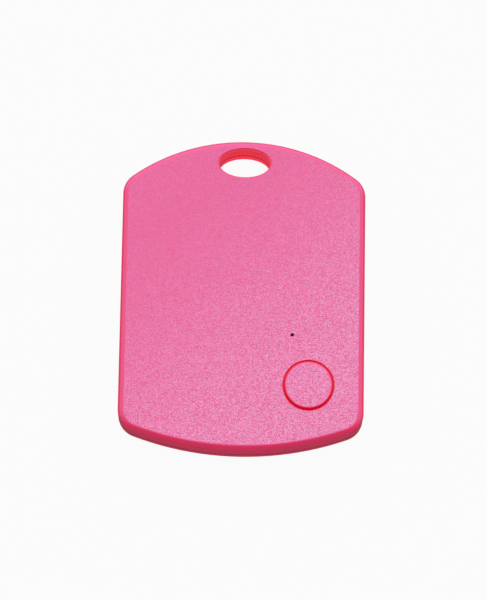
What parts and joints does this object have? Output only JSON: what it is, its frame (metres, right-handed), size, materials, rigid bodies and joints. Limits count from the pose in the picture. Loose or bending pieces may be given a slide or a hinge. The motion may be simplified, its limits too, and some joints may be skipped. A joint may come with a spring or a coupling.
{
  "type": "bluetooth tracker tag",
  "caption": "Flat tag-shaped Bluetooth key finder: a two-part pink case with an oval keyring hole and a push button, holding a coin cell, circuit board and buzzer.",
  "frame": {"origin": "on the back face, in the middle of the tag's length and width", "axes": "+Z out of the face with the button, +Y towards the keyring hole, +X towards the button's side"},
  "size_m": [0.04, 0.0524, 0.0063],
  "materials": {
    "case_pink": "satin pink plastic, spark-textured face and smooth edges",
    "button_pink": "satin pink plastic, textured",
    "silicone_red": "soft silicone",
    "smoked_clear": "smoked clear plastic",
    "board_green": "solder mask over glass fibre",
    "screw_steel": "bright zinc",
    "chip_black": "moulded epoxy",
    "crystal_lid": "bright metal lid",
    "antenna_ceramic": "white ceramic",
    "led_body": "pale epoxy",
    "tantalum_yellow": "moulded epoxy",
    "capacitor_tan": "fired ceramic",
    "resistor_black": "glazed ceramic",
    "ferrite_grey": "ferrite",
    "switch_black": "moulded plastic",
    "switch_steel": "stainless sheet",
    "tinned": "tinned brass",
    "plunger_white": "moulded plastic",
    "tape_clear": "double-sided tape",
    "brass_disc": "rolled brass",
    "piezo_silver": "silvered ceramic",
    "gold_spring": "gold-plated spring sheet",
    "nickel_spring": "nickel-plated spring steel",
    "foam_black": "closed-cell foam",
    "cell_steel": "nickel-plated steel",
    "gasket_grey": "moulded polypropylene",
    "cathode_black": "pressed powder",
    "separator_white": "nonwoven sheet",
    "lithium_grey": "soft metal foil"
  },
  "bodies": {
    "rear_case": {"rear_cover": "case_pink", "cell_can": "cell_steel", "cell_cap": "cell_steel", "cell_gasket": "gasket_grey", "cell_cathode": "cathode_black", "cell_separator": "separator_white", "cell_anode": "lithium_grey"},
    "front_case": {"front_cover": "case_pink", "seal_ring": "silicone_red", "status_light_guide": "smoked_clear", "circuit_board": "board_green", "board_screws": "screw_steel", "bluetooth_chip": "chip_black", "buzzer_driver_chip": "chip_black", "main_crystal": "crystal_lid", "clock_crystal": "crystal_lid", "chip_antenna": "antenna_ceramic", "status_led": "led_body", "storage_capacitor": "tantalum_yellow", "ceramic_capacitors": "capacitor_tan", "chip_resistors": "resistor_black", "boost_inductor": "ferrite_grey", "switch_housing": "switch_black", "switch_plate": "switch_steel", "switch_terminals": "tinned", "buzzer_tape": "tape_clear", "buzzer_plate": "brass_disc", "buzzer_ceramic": "piezo_silver", "buzzer_contacts": "gold_spring", "negative_contact": "nickel_spring", "positive_contact": "nickel_spring", "cell_cushion": "foam_black"},
    "button": {"button_cap": "button_pink"},
    "switch_plunger": {"switch_plunger": "plunger_white"}
  },
  "joints": [
    {"name": "case_opening", "type": "slide", "parent": "rear_case", "child": "front_case", "axis": [0, 0, 1], "range_m": [0, 0.012]},
    {"name": "button_press", "type": "slide", "parent": "front_case", "child": "button", "axis": [0, 0, -1], "range_m": [0, 0.00025], "stiffness_N_per_m": 6400},
    {"name": "switch_press", "type": "slide", "parent": "front_case", "child": "switch_plunger", "axis": [0, 0, -1], "range_m": [0, 0.00025]}
  ],
  "couplings": [
    {"joint": "switch_press", "follows": "button_press", "ratio": 1}
  ]
}
